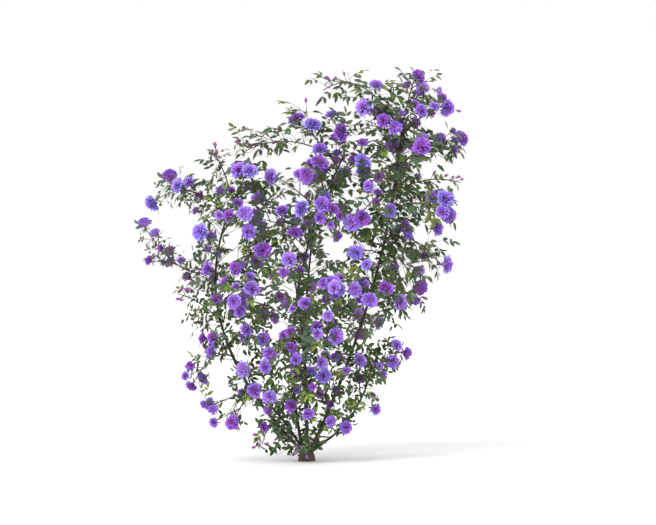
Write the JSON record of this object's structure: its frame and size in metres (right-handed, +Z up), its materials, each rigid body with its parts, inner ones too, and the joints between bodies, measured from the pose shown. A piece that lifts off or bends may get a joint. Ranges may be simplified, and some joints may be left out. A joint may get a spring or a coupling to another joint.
{
  "type": "climbing rose",
  "caption": "Rooted climbing rose with a short rootstock, bowed canes and leafy shoots that end in very double violet blooms, open to the sky between the shoots.",
  "frame": {"origin": "middle of the rootstock's flat cut at ground level", "axes": "+Z up, the plant's face looks along -Y, +X to the right as seen from the front"},
  "size_m": [1.4499, 0.762, 1.7373],
  "materials": {
    "bark": "rough grey-brown bark",
    "cane": "smooth green-brown rind with prickles",
    "foliage": "satin dark green leaves",
    "blossom": "soft violet petals"
  },
  "bodies": {
    "root": {"rootstock": "bark", "cane_right": "cane", "cane_centre": "cane", "cane_left": "cane", "cane_low_left": "cane", "cane_low_right": "cane", "cane_front": "cane", "cane_back": "cane", "top_shoot": "foliage", "top_right_shoot": "foliage", "top_arching_shoot": "foliage", "top_front_shoot": "foliage", "upper_right_shoot": "foliage", "upper_right_front_shoot": "foliage", "right_bud_shoot": "foliage", "right_front_shoot": "foliage", "right_shoot": "foliage", "right_inner_shoot": "foliage", "right_hanging_shoot": "foliage", "right_under_shoot": "foliage", "right_low_front_shoot": "foliage", "back_upper_right_shoot": "foliage", "back_right_shoot": "foliage", "centre_top_shoot": "foliage", "upper_left_bloom_shoot": "foliage", "upper_left_arm": "foliage", "centre_right_shoot": "foliage", "centre_front_shoot": "foliage", "centre_left_shoot": "foliage", "centre_mid_front_shoot": "foliage", "centre_low_left_shoot": "foliage", "left_top_shoot": "foliage", "left_top_twig": "foliage", "left_upper_arm": "foliage", "left_front_shoot": "foliage", "left_shoot": "foliage", "left_inner_shoot": "foliage", "left_arm": "foliage", "left_heart_shoot": "foliage", "left_bud_shoot": "foliage", "left_low_front_shoot": "foliage", "left_hanging_shoot": "foliage", "low_left_shoot": "foliage", "low_left_arm": "foliage", "low_left_upper_shoot": "foliage", "foot_left_shoot": "foliage", "low_right_shoot": "foliage", "low_right_upper_shoot": "foliage", "low_right_front_shoot": "foliage", "foot_shoot": "foliage", "front_top_shoot": "foliage", "front_right_shoot": "foliage", "front_low_right_shoot": "foliage", "front_low_left_shoot": "foliage", "front_low_shoot": "foliage", "front_foot_shoot": "foliage", "back_top_shoot": "foliage", "back_left_top_shoot": "foliage", "back_left_low_shoot": "foliage", "back_low_right_shoot": "foliage"}
  },
  "joints": []
}
